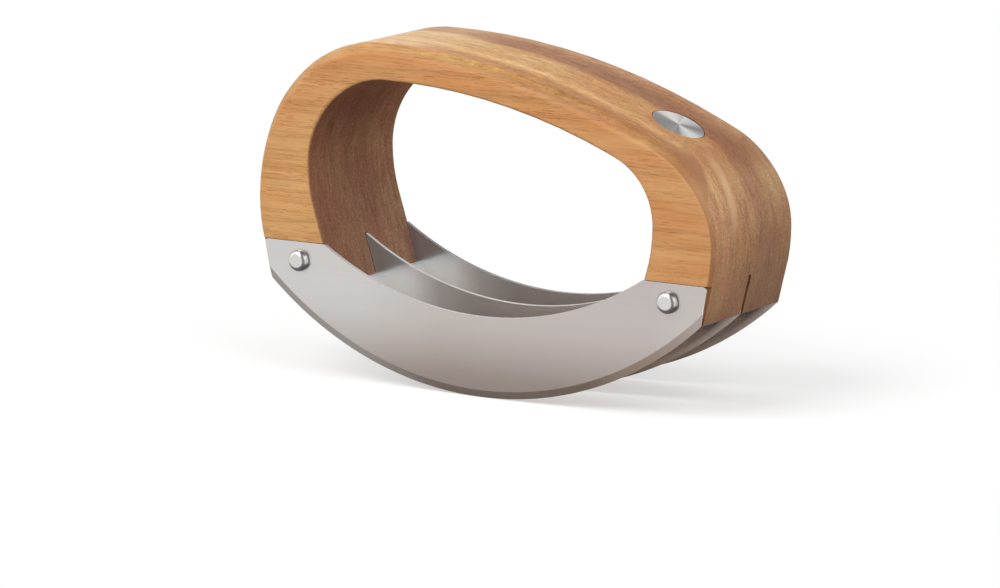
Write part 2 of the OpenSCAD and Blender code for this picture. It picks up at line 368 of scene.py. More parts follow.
def steel_material(
        name, colour, roughness, brushing, strength, along, up=(), back=(), painted_inside_tone=(), painted_reflection_tint=()):
    """Steel with fine brushing; its colour ramps by length, height and depth, and on the faces between blades,
    paint light, shade and reflections into the colour
    """
    material = new_material(name)
    tree = material.node_tree
    link = tree.links.new
    output = add_node(tree, "ShaderNodeOutputMaterial", (1300, 0))
    shader = add_node(tree, "ShaderNodeBsdfPrincipled", (1000, 0))
    set_inputs(shader, Metallic=0.85)
    group = add_node(tree, "ShaderNodeGroup", (-500, 0))
    group.node_tree = bpy.data.node_groups.get("Brushing") or brushed_group()
    group.inputs["Scale"].default_value = brushing
    group.inputs["Strength"].default_value = strength
    result = toned(tree, (-250, 150), group.outputs["Mask"], [
        (0.3, [c * 0.985 for c in colour]), (0.7, [c * 1.015 for c in colour])])
    link(toned(tree, (-250, -100), group.outputs["Mask"], [
        (0.3, grey(roughness * 0.85)), (0.7, grey(roughness * 1.15))]), shader.inputs["Roughness"])
    coords = add_node(tree, "ShaderNodeTexCoord", (-1300, 400))
    split = add_node(tree, "ShaderNodeSeparateXYZ", (-1100, 400))
    link(coords.outputs["Object"], split.inputs[0])
    x, y, z = (split.outputs[axis] for axis in "XYZ")
    # The ramps reach over 160 mm of length, 60 mm of depth and 40 mm of height
    long, deep, high = 160, 60, 40
    length = maths(tree, "MULTIPLY_ADD", (-500, 400), x, 1 / (long * MM), 0.5)
    result = mixed(tree, "MULTIPLY", (200, 300), 1.0, result, toned(
        tree, (-250, 400), length, [(v / long + 0.5, c) for v, c in along]))
    if back:
        depth = maths(tree, "MULTIPLY_ADD", (-500, 550), y, 1 / (deep * MM), 0.5)
        result = mixed(tree, "MULTIPLY", (300, 500), 1.0, result, toned(
            tree, (-250, 550), depth, [(v / deep + 0.5, c) for v, c in back]))
    if painted_inside_tone:
        # Faces that look at another blade: their place times their normal is small or negative. Their ramp
        # paints light and shade into the colour
        facing = add_node(tree, "ShaderNodeSeparateXYZ", (-1100, 900))
        link(coords.outputs["Normal"], facing.inputs[0])
        within = eased(tree, (-500, 900), maths(
            tree, "MULTIPLY", (-700, 900), facing.outputs["Y"], y), 12 * MM, 8 * MM)
        result = mixed(tree, "MULTIPLY", (400, 300), within, result, toned(
            tree, (-250, 700), length, [(v / long + 0.5, c) for v, c in painted_inside_tone]))
        # Beside the legs, above a slanting line, a painted reflection of the dark wood: the colour is
        # multiplied darker and bluer
        side = maths(tree, "ABSOLUTE", (-900, 1200), x)
        line = maths(tree, "MULTIPLY_ADD", (-700, 1200), side, 0.42, z)
        shade = maths(tree, "MULTIPLY", (-300, 1200), eased(
            tree, (-500, 1200), line, 50.9 * MM, 52.7 * MM), eased(tree, (-500, 1400), side, 40 * MM, 43 * MM))
        shade = maths(tree, "MULTIPLY", (-100, 1100), shade, within)
        result = mixed(tree, "MULTIPLY", (600, 300), shade, result, painted_reflection_tint)
    if up:
        height = maths(tree, "MULTIPLY", (-500, 650), z, 1 / (high * MM))
        result = mixed(tree, "MULTIPLY", (800, 300), 1.0, result, toned(
            tree, (-250, 1000), height, [(v / high, c) for v, c in up]))
    link(result, shader.inputs["Base Color"])
    link(group.outputs["Normal"], shader.inputs["Normal"])
    link(shader.outputs[0], output.inputs["Surface"])
    return material


def rivet_material(colour, seam, face):
    """Polished steel: a dark seam around a head's foot, of dirt and painted contact shadow, and painted shade,
    highlights and reflections around its round shoulder
    """
    material = new_material("polished_rivet")
    tree = material.node_tree
    link = tree.links.new
    output = add_node(tree, "ShaderNodeOutputMaterial", (1100, 0))
    shader = add_node(tree, "ShaderNodeBsdfPrincipled", (800, 0))
    set_inputs(shader, Metallic=1.0, Roughness=0.32)
    coords = add_node(tree, "ShaderNodeTexCoord", (-900, 0))
    split = add_node(tree, "ShaderNodeSeparateXYZ", (-700, 100))
    link(coords.outputs["Object"], split.inputs[0])
    outwards = maths(tree, "ABSOLUTE", (-500, 100), split.outputs["Y"])
    # Dark seam at the head's foot: dirt and painted contact shadow
    foot = eased(tree, (-300, 100), outwards, face + 0.6 * MM, face + 0.1 * MM)
    facing = add_node(tree, "ShaderNodeSeparateXYZ", (-700, -200))
    link(coords.outputs["Normal"], facing.inputs[0])
    # Painted shade, highlights and reflections around the shoulder, by the way its normal faces sideways
    painted_tones = [(0.0, 0.95), (0.10, 1.0), (0.20, 1.15), (0.30, 0.75),
             (0.42, 0.30), (0.60, 0.28), (0.74, 0.55), (0.90, 1.2)]
    around = toned(tree, (-100, -50), facing.outputs["X"], [
        (v, tuple(c * k for c in colour)) for v, k in painted_tones])
    # Painted shade: the top of the shoulder is darker
    around = mixed(tree, "MULTIPLY", (200, 100), eased(
        tree, (-100, 200), facing.outputs["Z"], 0.12, 0.5), around, grey(0.7))
    # Painted shade: the underside of the head is darkened to the seam colour
    painted_under_shade = eased(tree, (-300, -300), facing.outputs["Z"], -0.02, -0.36, 0.97)
    dark = maths(tree, "MAXIMUM", (100, -300), foot, painted_under_shade)
    link(mixed(tree, "MIX", (400, 0), dark, around, seam), shader.inputs["Base Color"])
    link(shader.outputs[0], output.inputs["Surface"])
    return material


def disc_material(colour, middle, tilt):
    """Spun steel: bright and dark rays of painted reflection run out from the middle, as on a turned face"""
    material = new_material("spun_steel")
    tree = material.node_tree
    link = tree.links.new
    output = add_node(tree, "ShaderNodeOutputMaterial", (900, 0))
    shader = add_node(tree, "ShaderNodeBsdfPrincipled", (600, 0))
    set_inputs(shader, Metallic=1.0, Roughness=0.3, Anisotropic=0.8)
    coords = add_node(tree, "ShaderNodeTexCoord", (-1100, 0))
    flat = add_node(tree, "ShaderNodeMapping", (-900, 0), vector_type="TEXTURE")
    set_inputs(flat, Location=middle, Rotation=(0, tilt, 0))
    split = add_node(tree, "ShaderNodeSeparateXYZ", (-700, 0))
    link(coords.outputs["Object"], flat.inputs["Vector"])
    link(flat.outputs[0], split.inputs[0])
    angle = maths(tree, "ARCTAN2", (-500, 0), split.outputs["Y"], split.outputs["X"])
    turn = maths(tree, "MULTIPLY_ADD", (-300, 0), angle, 0.5 / math.pi, 0.5)
    # Painted reflections: bright and dark sectors by angle round the middle
    painted_tones = [(-180, 0.62), (-166, 0.36), (-131, 0.29), (-85, 0.29), (-72, 0.36), (-58, 0.25), (-46, 0.62),
             (-28, 0.95), (-5, 0.85), (15, 0.5), (32, 0.30), (48, 0.27), (62, 0.5), (74, 0.72), (90, 0.74),
             (104, 0.86), (115, 0.62), (128, 0.82), (150, 0.98), (166, 0.9), (180, 0.72)]
    rays = toned(tree, (-100, 0), turn, [((v + 180) / 360, tuple(c * k for c in colour)) for v, k in painted_tones])
    link(rays, shader.inputs["Base Color"])
    rings = add_node(tree, "ShaderNodeTangent", (300, -200), direction_type="RADIAL", axis="Z")
    link(rings.outputs[0], shader.inputs["Tangent"])
    link(shader.outputs[0], output.inputs["Surface"])
    return material


def wood_material(settings):
    """Oiled hardwood: growth layers by depth, streaks and pores along the grain, brown end grain, with painted
    shade in the arch, on its underside, low on the ends, in the recesses and on the rounded front edge, a
    painted sheen on the crown and a painted highlight on the lower front edge
    """
    material = new_material("oiled_wood")
    tree = material.node_tree
    link = tree.links.new
    output = add_node(tree, "ShaderNodeOutputMaterial", (2600, 0))
    shader = add_node(tree, "ShaderNodeBsdfPrincipled", (2300, 0))
    shader.inputs["Specular IOR Level"].default_value = 0.22
    coords = add_node(tree, "ShaderNodeTexCoord", (-2600, 0))
    scaled = add_node(tree, "ShaderNodeVectorMath", (-2400, 0), operation="SCALE")
    scaled.name = "millimetres"
    scaled.inputs["Scale"].default_value = 1000
    link(coords.outputs["Object"], scaled.inputs[0])
    place = scaled.outputs[0]

    def noise(scale, where, **values):
        mapping = add_node(tree, "ShaderNodeVectorMath", (where[0] - 200, where[1]), operation="MULTIPLY")
        mapping.inputs[1].default_value = scale
        node = add_node(tree, "ShaderNodeTexNoise", where)
        set_inputs(node, Scale=1.0, **values)
        link(place, mapping.inputs[0])
        link(mapping.outputs[0], node.inputs["Vector"])
        return node.outputs["Fac"]

    def calc(operation, where, *values):
        return maths(tree, operation, where, *values)

    def step(where, value, low, high, top=1.0):
        return eased(tree, where, value, low, high, top)

    def product(where, *masks):
        """Masks multiplied with each other"""
        result = masks[0]
        for row, mask in enumerate(masks[1:]):
            result = calc("MULTIPLY", (where[0], where[1] - 150 * row), result, mask)
        return result

    def blend(where, mask, colour, other):
        return mixed(tree, "MIX", where, mask, colour, other)

    def tinted(where, colour, value, stops, mask=1.0):
        """A colour multiplied by the ramp that a value drives, as far as a mask lets it"""
        tint = toned(tree, (where[0] - 300, where[1] - 200), value, stops)
        return mixed(tree, "MULTIPLY", where, mask, colour, tint)

    split = add_node(tree, "ShaderNodeSeparateXYZ", (-2200, 0))
    link(place, split.inputs[0])
    x, y, z = (split.outputs[axis] for axis in "XYZ")
    facing = add_node(tree, "ShaderNodeSeparateXYZ", (-2200, -1300))
    link(coords.outputs["Normal"], facing.inputs[0])
    right, rear, top = (facing.outputs[axis] for axis in "XYZ")

    # Places as shares of the ramps' reach, which is 160 mm long, 50 mm wide and 100 mm high
    length = calc("MULTIPLY_ADD", (-2000, 900), x, 1 / 160, 0.5)
    width = calc("MULTIPLY_ADD", (-2000, 1050), y, 1 / 50, 0.5)
    height = calc("MULTIPLY", (-2000, 1200), z, 1 / 100)

    # Growth layers: depth in millimetres, bent by slow noise, and leaning forwards lower down
    slow = noise((0.012, 0.04, 0.03), (-1900, 500), Detail=2.0, Roughness=0.5)
    wavy = noise((0.022, 0.3, 0.3), (-1900, 300), Detail=3.0, Roughness=0.6)
    low = calc("MAXIMUM", (-1700, 100), calc("SUBTRACT", (-1900, 100), 80.0, z), 0.0)
    lean = product((-1500, 100), low, step((-1700, -50), y, -23.0, -12.0, 0.42))
    depth = calc("ADD", (-1500, 300), y, lean)
    depth = calc("MULTIPLY_ADD", (-1300, 400), slow, 6.0, depth)
    depth = calc("MULTIPLY_ADD", (-1100, 400), wavy, 3.0, depth)
    depth = calc("ADD", (-1000, 600), depth, step((-1300, 600), x, 25.0, -5.0, -1.4))
    left = step((-1500, -200), x, -8.0, -36.0)
    depth = calc("MULTIPLY_ADD", (-900, 300), left, -4.0, depth)
    first, span, bend = -24.5, 60.0, 4.5
    layer = add_node(tree, "ShaderNodeMapRange", (-700, 300), clamp=True)
    set_inputs(layer, From_Min=first + bend, From_Max=first + span + bend)
    link(depth, layer.inputs["Value"])
    golden, pale, tan, brown, russet = (tuple(c) for c in (
        settings.golden, settings.pale, settings.tan, settings.brown, settings.russet))
    stops = [
        (-24.0, golden), (-23.0, golden), (-21.8, (0.50, 0.25, 0.092)), (-20.2, (0.43, 0.195, 0.064)),
        (-18.2, (0.46, 0.215, 0.071)), (-16.2, (0.58, 0.31, 0.112)), (-14.2, pale), (-13.0, pale),
        (-11.6, (0.585, 0.325, 0.124)), (-8.5, (0.545, 0.29, 0.106)), (-3.5, tan), (0.5, tan),
        (2.8, (0.52, 0.285, 0.11)), (3.9, (0.42, 0.21, 0.09)), (5.4, brown), (7.4, (0.33, 0.148, 0.064)),
        (8.8, brown), (12.0, (0.32, 0.14, 0.06)), (14.0, (0.35, 0.164, 0.074)), (17.0, (0.44, 0.22, 0.10)),
        (20.0, russet), (24.0, (0.40, 0.205, 0.108)), (30.0, (0.36, 0.185, 0.095))]
    layers = toned(tree, (-500, 300), layer.outputs[0], [((d - first) / span, c) for d, c in stops])

    # The crown is paler towards its highest point, behind the front edge: partly paler wood, partly painted
    # sheen
    crown = product(
        (-300, -50), left, step((-700, -100), y, -22.0, -17.0, 0.75), step((-500, -200), z, 86.0, 98.0),
        toned(tree, (-500, -300), width, [(0.2, grey(1.0)), (0.4, grey(0.62)), (0.9, grey(0.45))]))
    layers = blend((-100, 300), crown, layers, (0.76, 0.55, 0.34))

    # Painted shade on the rounded front edge: its colour is duller and less orange, most of all where it begins
    # to turn
    rounded = product(
        (-500, -550), step((-700, -600), rear, -0.995, -0.82), step((-700, -750), rear, -0.02, -0.4))
    layers = tinted((0, 450), layers, length, [
        (0.28, (0.82, 0.96, 1.0)), (0.375, (0.87, 1.06, 1.06)), (0.5, (0.79, 0.87, 0.77)),
        (0.62, (0.76, 0.79, 0.68)), (0.72, (0.85, 0.88, 0.85)), (0.80, (0.88, 0.90, 0.90)),
        (0.92, (0.90, 1.02, 0.96)), (0.99, (0.82, 0.95, 1.0))], rounded)
    # Painted shade, deepest where the edge begins to turn
    turning = product(
        (-500, -850), step((-700, -900), rear, -0.998, -0.93), step((-700, -1050), rear, -0.55, -0.85))
    layers = tinted((0, 650), layers, length, [
        (0.28, grey(1.0)), (0.45, (0.88, 0.89, 0.86)), (0.62, (0.80, 0.77, 0.75)),
        (0.76, (0.86, 0.86, 0.90)), (0.86, grey(0.95)), (0.94, (0.86, 0.82, 0.86))], turning)

    # The left leg's lower part is more golden
    leg = product((-500, -350), step((-700, -350), x, -45.0, -72.0, 0.8), step((-700, -500), z, 96.0, 58.0))
    layers = blend((100, 500), leg, layers, (0.71, 0.395, 0.158))

    # Streaks and pores: noise stretched along the grain
    broad = noise((0.012, 0.42, 0.42), (-1500, -500), Detail=4.0, Roughness=0.6, Distortion=0.3)
    fine = noise((0.05, 2.1, 2.1), (-1500, -700), Detail=4.0, Roughness=0.7, Distortion=0.2)
    dashes = noise((0.24, 3.4, 3.4), (-1500, -900), Detail=2.0, Roughness=0.5)
    patches = noise((0.03, 0.09, 0.09), (-1500, -1100), Detail=1.0, Roughness=0.5)
    mottle = noise((0.028, 0.07, 0.12), (-1100, -1100), Detail=2.0, Roughness=0.5)
    speckle = noise((1.5, 1.5, 1.5), (-1500, -1500), Detail=2.0, Roughness=0.6)
    rings = noise((0.12, 0.5, 0.09), (-1100, -1500), Detail=5.0, Roughness=0.7, Distortion=0.8)
    lines = noise((0.04, 1.5, 1.5), (-700, -900), Detail=5.0, Roughness=0.75, Distortion=0.4)
    flecks = noise((0.16, 0.55, 0.55), (-700, -1700), Detail=4.0, Roughness=0.65, Distortion=0.6)
    colour = tinted((100, 200), layers, broad, [
        (0.3, (0.84, 0.80, 0.75)), (0.5, grey(1.0)), (0.72, (1.06, 1.08, 1.09))])
    colour = tinted((300, 200), colour, fine, [
        (0.26, (0.70, 0.64, 0.56)), (0.42, (0.95, 0.94, 0.92)), (0.55, grey(1.02)), (0.74, grey(1.10))])
    colour = tinted((500, 200), colour, mottle, [
        (0.34, (0.97, 0.88, 0.80)), (0.5, grey(1.0)), (0.66, (1.03, 1.09, 1.10))])
    pore = product(
        (-900, -900), step((-1200, -900), dashes, 0.43, 0.33), step((-1200, -1100), patches, 0.24, 0.54),
        step((-1200, -750), x, 115.0, 40.0))
    colour = mixed(tree, "MULTIPLY", (700, 200), pore, colour, (0.74, 0.63, 0.50))
    colour = tinted((750, 450), colour, flecks, [
        (0.36, (0.82, 0.79, 0.72)), (0.47, (0.97, 0.97, 0.95)), (0.53, grey(1.0)), (0.64, (1.10, 1.13, 1.14))],
        step((-500, -1500), rear, -0.95, -0.6))
    lined = calc("MAXIMUM", (-500, -1000), leg, step((-700, -1100), rear, -0.9, -0.5, 0.8))
    colour = tinted((800, 350), colour, lines, [
        (0.34, (0.70, 0.64, 0.56)), (0.46, (0.95, 0.94, 0.92)), (0.52, grey(1.0)), (0.66, (1.15, 1.19, 1.21))],
        lined)

    # Reddish stains at the left leg's foot
    stain = product(
        (500, -800), step((100, -800), flecks, 0.47, 0.60, 0.55), step((100, -950), x, -52.0, -62.0),
        step((300, -950), z, 50.0, 44.0))
    colour = blend((850, 500), stain, colour, (0.56, 0.235, 0.082))

    # End grain where the surface faces along the grain: streaked, and darker at the back. Painted shade makes
    # it darker low down and darker still on the faces within the arch, and gives faces that look down above the
    # feet the same dark tone
    painted_underside_shade = product(
        (-1500, -1450), step((-1900, -1450), top, -0.08, -0.45, 0.92), step((-1900, -1600), z, 46.0, 52.0),
        step((-1700, -1600), rear, -0.6, -0.2))
    end = calc("ABSOLUTE", (-2000, -1300), right)
    across = calc("MAXIMUM", (-1500, -1300), painted_underside_shade, step((-1700, -1300), end, 0.28, 0.97, 0.88))
    outer = toned(tree, (-1500, -1900), width, [
        (0.0, (0.56, 0.30, 0.148)), (0.14, (0.54, 0.285, 0.14)), (0.30, (0.48, 0.245, 0.121)),
        (0.42, (0.455, 0.232, 0.114)), (0.51, (0.43, 0.218, 0.109)), (0.56, (0.375, 0.192, 0.098)),
        (0.68, (0.345, 0.17, 0.086)), (0.80, (0.385, 0.203, 0.098)), (1.0, (0.385, 0.20, 0.098))])
    # Painted shade: the outer end grain darkens low down
    outer = tinted((-1200, -1900), outer, height, [
        (0.30, (0.62, 0.54, 0.49)), (0.42, (0.82, 0.78, 0.75)), (0.52, (0.95, 0.93, 0.91)),
        (0.62, grey(1.0)), (0.74, (0.93, 0.90, 0.88)), (0.84, (0.84, 0.79, 0.75))])
    # Within the arch: end grain with painted shade, darker than outside
    painted_inside_tone = toned(tree, (-1500, -2300), width, [
        (0.0, (0.225, 0.096, 0.064)), (0.22, (0.295, 0.14, 0.096)), (0.40, (0.35, 0.172, 0.118)),
        (0.62, (0.42, 0.218, 0.144)), (0.80, (0.52, 0.28, 0.185)), (1.0, (0.51, 0.275, 0.18))])
    painted_inside_tone = tinted((-1200, -2300), painted_inside_tone, height, [
        (0.50, grey(1.0)), (0.68, (1.22, 1.18, 1.09)), (0.84, (1.14, 1.07, 0.94))])
    within = product((-1500, -1700), right, calc("MULTIPLY", (-1700, -1700), x, -1 / 50))
    within = calc("MAXIMUM", (-1100, -1700), painted_underside_shade, step((-1300, -1700), within, 0.3, 0.8))
    # This colour is end grain with painted shade
    grain = blend((100, -1300), within, outer, painted_inside_tone)
    grain = tinted((300, -1300), grain, speckle, [
        (0.3, (0.76, 0.72, 0.68)), (0.5, grey(0.98)), (0.6, grey(1.06)), (0.72, (1.4, 1.45, 1.5))])
    grain = tinted((500, -1300), grain, rings, [
        (0.34, (0.74, 0.69, 0.66)), (0.5, grey(1.0)), (0.66, (1.16, 1.19, 1.17))])
    grain = tinted((700, -1300), grain, patches, [(0.38, (0.98, 0.92, 0.95)), (0.62, (1.03, 1.10, 1.03))])
    colour = blend((900, 100), across, colour, grain)

    # A reddish layer where the front turns into the right end, narrower lower down
    border = calc("SUBTRACT", (-1300, -2700), y, step((-1500, -2700), z, 80.5, 64.0, -9.8))
    border = calc("MULTIPLY_ADD", (-1100, -2700), wavy, 2.0, border)
    corner = product(
        (-500, -2700), step((-900, -2700), border, -11.6, -13.4), step((-900, -2900), rear, -0.998, -0.86, 0.8),
        step((-900, -3100), z, 89.0, 80.0), step((-900, -3300), x, 54.0, 76.0))
    colour = blend((1100, 100), corner, colour, (0.34, 0.155, 0.066))

    # A pale flame in the figure of the right shoulder
    axis = calc("MULTIPLY_ADD", (-1300, -3500), z, -0.2, y)
    axis = calc("MULTIPLY_ADD", (-1100, -3500), wavy, 3.0, axis)
    away = calc("ABSOLUTE", (-700, -3500), calc("ADD", (-900, -3500), axis, 21.4))
    flame = product(
        (-300, -3500), step((-500, -3500), away, 3.0, 0.6, 0.78), step((-500, -3700), x, 67.0, 73.0),
        step((-500, -3900), z, 52.0, 64.0))
    colour = blend((1300, 100), flame, colour, (0.60, 0.36, 0.185))

    # Behind the front the wood is browner towards the right shoulder, and paler where that turns down
    shoulder = product((1100, -300), step((900, -500), x, 0.0, 24.0), step((900, -700), rear, -0.97, -0.8))
    colour = tinted((1400, 100), colour, height, [
        (0.50, grey(1.0)), (0.60, (1.08, 1.11, 1.14)), (0.67, (1.15, 1.23, 1.28)), (0.71, (1.17, 1.25, 1.30)),
        (0.75, (0.97, 0.93, 0.92)), (0.79, (0.86, 0.79, 0.74)), (0.86, (0.83, 0.75, 0.69)),
        (0.93, (0.86, 0.79, 0.74)), (0.99, (0.94, 0.90, 0.87)), (1.0, (0.95, 0.92, 0.89))], shoulder)

    # Painted shade in the recesses: faces behind the blades and in the slot are darkened
    sawn = product(
        (-300, -4100), step((-500, -4100), calc("ABSOLUTE", (-700, -4100), rear), 0.93, 0.98),
        step((-500, -4300), calc("ABSOLUTE", (-700, -4300), y), 24.0, 23.6))
    colour = mixed(tree, "MULTIPLY", (1500, 100), sawn, colour, (0.42, 0.34, 0.28))

    # Painted highlight: the softened lower edge of the front is brightened
    lower = product((1400, -600), step((1200, -600), top, -0.12, -0.45), step((1200, -750), rear, -0.1, -0.4))
    colour = mixed(tree, "MULTIPLY", (1700, 100), lower, colour, (1.5, 1.45, 1.4))

    link(colour, shader.inputs["Base Color"])
    satin = toned(tree, (900, -300), fine, [(0.3, grey(0.56)), (0.7, grey(0.46))])
    dull = product((900, -500), within, across)
    link(blend((1200, -300), dull, satin, grey(0.9)), shader.inputs["Roughness"])
    bump = add_node(tree, "ShaderNodeBump", (2000, -400))
    set_inputs(bump, Strength=0.15, Distance=0.0001)
    link(fine, bump.inputs["Height"])
    link(bump.outputs["Normal"], shader.inputs["Normal"])
    link(shader.outputs[0], output.inputs["Surface"])
    return material


def put_material(obj, *materials):
    obj.data.materials.clear()
    for material in materials:
        obj.data.materials.append(material)


# Pieces

class MEZZALUNA_OT_handle(bpy.types.Operator):
    """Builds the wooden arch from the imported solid, with softened edges and oiled wood"""

    bl_idname = "mezzaluna.handle"
    bl_label = "Wooden handle"

    def execute(self, context):
        settings = context.scene.mezzaluna_wood
        weld, flat, sharp = 0.002 * MM, math.radians(0.4), math.radians(50)
        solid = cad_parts["handle"]
        obj = bpy.data.objects.new("wooden_handle", solid.data.copy())
        context.scene.collection.objects.link(obj)
        obj.data.name = "wooden_handle"
        make_active(obj)
        bpy.ops.object.mode_set(mode="EDIT")
        bpy.ops.mesh.select_all(action="SELECT")
        bpy.ops.mesh.remove_doubles(threshold=weld)
        bpy.ops.mesh.dissolve_limited(angle_limit=flat)
        bpy.ops.object.mode_set(mode="OBJECT")
        soften = obj.modifiers.new("Soften", "BEVEL")
        soften.width = settings.edge_break
        soften.segments = 2
        soften.limit_method = "ANGLE"
        soften.angle_limit = sharp
        soften.harden_normals = False
        bpy.ops.object.modifier_apply(modifier=soften.name)
        smooth(obj, 35)
        put_material(obj, wood_material(settings))
        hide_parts("handle")
        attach(obj, "root")
        return {"FINISHED"}


def build_blade(name, y, settings, fittings, materials):
    """One blade: a ground disc, cut to its outline, hollowed along the top and drilled"""
    rim, bore_radius, edge_break = 0.06 * MM, 2.1 * MM, 0.12 * MM
    sharp = math.radians(50)
    radius = settings.edge_radius
    obj = add_cylinder(ARC_STEPS, radius, rim, (0, y, radius))
    put_material(obj, *materials)
    finish_place(obj, name)
    bpy.ops.object.mode_set(mode="EDIT")
    select(obj, "FACE", lambda f: abs(f.normal.y) > 0.9)
    bpy.ops.mesh.inset(
        thickness=settings.bevel_height, depth=(settings.thickness - rim) / 2, use_individual=True)
    lean = settings.end_lean
    top = Vector((settings.half_length, y, settings.depth))
    cut(top, (0, 0, 1))
    cut(top, (math.cos(lean), 0, -math.sin(lean)))
    cut(Vector((-top.x, y, top.z)), (-math.cos(lean), 0, -math.sin(lean)))
    select(obj, "EDGE", lambda e: abs((e.verts[0].co - e.verts[1].co).normalized().y) > 0.99
           and min(v.co.z for v in e.verts) > settings.depth - 0.01 * MM)
    bpy.ops.mesh.bevel(
        offset=settings.corner / math.tan((math.pi / 2 - lean) / 2), offset_type="OFFSET", segments=6)
    bpy.ops.object.mode_set(mode="OBJECT")

    through = 4 * settings.thickness
    hollow_z = settings.depth - settings.hollow_sag + settings.hollow_radius
    carve(obj, add_cylinder(ARC_STEPS, settings.hollow_radius, through, (0, y, hollow_z)))
    for x in (-fittings.rivet_x, fittings.rivet_x):
        carve(obj, add_cylinder(48, bore_radius, through, (x, y, fittings.rivet_z)))

    make_active(obj)
    bpy.ops.object.mode_set(mode="EDIT")
    bpy.ops.mesh.select_all(action="SELECT")
    bpy.ops.mesh.remove_doubles(threshold=0.001 * MM)
    centre = Vector((0, y, radius))
    select(obj, "EDGE", lambda e: fold(e) > sharp
           and max((v.co - centre).length for v in e.verts) < radius - 1 * MM)
    bpy.ops.mesh.bevel(offset=edge_break, segments=2)
    bpy.ops.object.mode_set(mode="OBJECT")
    # Slots of the ground bevel and of the narrow sides; the flats keep the first one
    for polygon in obj.data.polygons:
        middle = polygon.center - centre
        far = math.hypot(middle.x, middle.z)
        steep = abs(polygon.normal.y)
        ground = 0.1 < steep < 0.985 and far > radius - settings.bevel_height
        polygon.material_index = 1 if ground else 2 if steep < 0.9 else 0
    smooth(obj, 25)
    return obj


class MEZZALUNA_OT_blades(bpy.types.Operator):
    """Builds the three curved blades in brushed steel with ground bevels"""

    bl_idname = "mezzaluna.blades"
    bl_label = "Blades"

    def execute(self, context):
        settings = context.scene.mezzaluna_blades
        fittings = context.scene.mezzaluna_fittings
        # Painted shade on the flats: darker along the middle and towards the cutting edge; painted light and
        # shade on the faces between blades, and a painted reflection of the dark wood beside the legs
        flat = steel_material(
            "brushed_blade", settings.colour, 0.22, (35, 1800, 1800), 0.08,
            along=[(-72, grey(1.0)), (-45, (0.98, 0.97, 0.97)), (-15, (0.86, 0.82, 0.80)),
                   (60, (0.83, 0.78, 0.77)), (75, (0.87, 0.83, 0.81))],
            up=[(0, (0.50, 0.45, 0.41)), (6, (0.56, 0.51, 0.47)), (15, (0.78, 0.75, 0.73)),
                (23, (0.94, 0.93, 0.92)), (30, grey(1.0))],
            painted_inside_tone=[(-70, grey(1.34)), (-48, (1.38, 1.40, 1.41)), (-40, (1.34, 1.37, 1.39)),
                    (-34, (1.08, 1.09, 1.10)), (-30, (0.93, 0.93, 0.94)), (-24, (0.98, 0.98, 0.99)),
                    (-18, (1.12, 1.12, 1.13)), (-13, (1.28, 1.29, 1.31)), (-8, (1.44, 1.45, 1.48)),
                    (-2, (1.50, 1.54, 1.58)), (12, (1.54, 1.57, 1.59)),
                    (45, (1.35, 1.33, 1.32)), (58, (1.55, 1.48, 1.42)), (70, (1.1, 1.0, 0.95))],
            painted_reflection_tint=(0.64, 0.78, 0.90))
        # The ground bevel is darker than the flats, partly its ground finish and partly a painted reflection of
        # a dark surface below; its ramp paints that reflection darker and browner along the middle
        ground = steel_material(
            "ground_bevel", settings.ground_and_reflection_colour, 0.4, (5000, 5000, 60), 0.5,
            along=[(-72, grey(1.0)), (-45, grey(0.9)), (-15, (0.50, 0.43, 0.385)), (38, (0.49, 0.40, 0.34)),
                   (44, (0.64, 0.52, 0.44)), (50, (0.78, 0.64, 0.55)), (58, (0.88, 0.72, 0.63)),
                   (65, (1.04, 0.87, 0.79)), (70, (1.08, 0.96, 0.90)), (76, (1.27, 1.17, 1.18))])
        # Painted highlight at the right end of the polished rims, and painted shade that darkens them towards
        # the back
        rim = steel_material(
            "polished_rim", settings.rim_colour, 0.25, (800, 800, 800), 0.1,
            along=[(-76, grey(1.0)), (74, grey(1.0)), (78, grey(1.75))],
            back=[(-24, grey(1.0)), (0, (1.0, 0.98, 0.98)), (18, (0.42, 0.40, 0.39))])
        for place, y in (("front", -settings.pitch), ("middle", 0.0), ("rear", settings.pitch)):
            obj = build_blade(place + "_curved_blade", y, settings, fittings, (flat, ground, rim))
            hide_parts(place + "_blade")
            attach(obj, "root")
        return {"FINISHED"}


def build_rivet(name, x, front, fittings, width):
    """Half a rivet: a head with a round shoulder, and a hollow sleeve at the front or a pin at the rear"""
    head_radius = fittings.head_diameter / 2
    sleeve_radius, sleeve_wall, sleeve_gap = 2.0 * MM, 0.75 * MM, 0.4 * MM
    pin_radius, pin_break, pin_share = 1.2 * MM, 0.25 * MM, 0.7
    side = -1 if front else 1
    y = side * (width / 2 + fittings.head_height / 2)
    obj = add_cylinder(96, head_radius, fittings.head_height, (x, y, fittings.rivet_z))
    finish_place(obj, name)
    bpy.ops.object.mode_set(mode="EDIT")
    outer_y = side * (width / 2 + fittings.head_height)
    select(obj, "EDGE", lambda e: all(abs(v.co.y - outer_y) < 0.001 * MM for v in e.verts))
    bpy.ops.mesh.bevel(
        offset=(fittings.head_diameter - fittings.flat_diameter) / 2, segments=8, profile=0.5)
    select(obj, "FACE", lambda f: f.normal.y * side < -0.9)
    bpy.ops.mesh.inset(thickness=head_radius - (sleeve_radius if front else pin_radius))
    length = width - sleeve_gap if front else pin_share * width
    bpy.ops.mesh.extrude_region_move(TRANSFORM_OT_translate={"value": (0, -side * length, 0)})
    if front:
        bpy.ops.mesh.inset(thickness=sleeve_wall)
        bpy.ops.mesh.extrude_region_move(TRANSFORM_OT_translate={"value": (0, side * length, 0)})
    else:
        bpy.ops.mesh.bevel(offset=pin_break, segments=2)
    bpy.ops.object.mode_set(mode="OBJECT")
    smooth(obj, 40)
    return obj


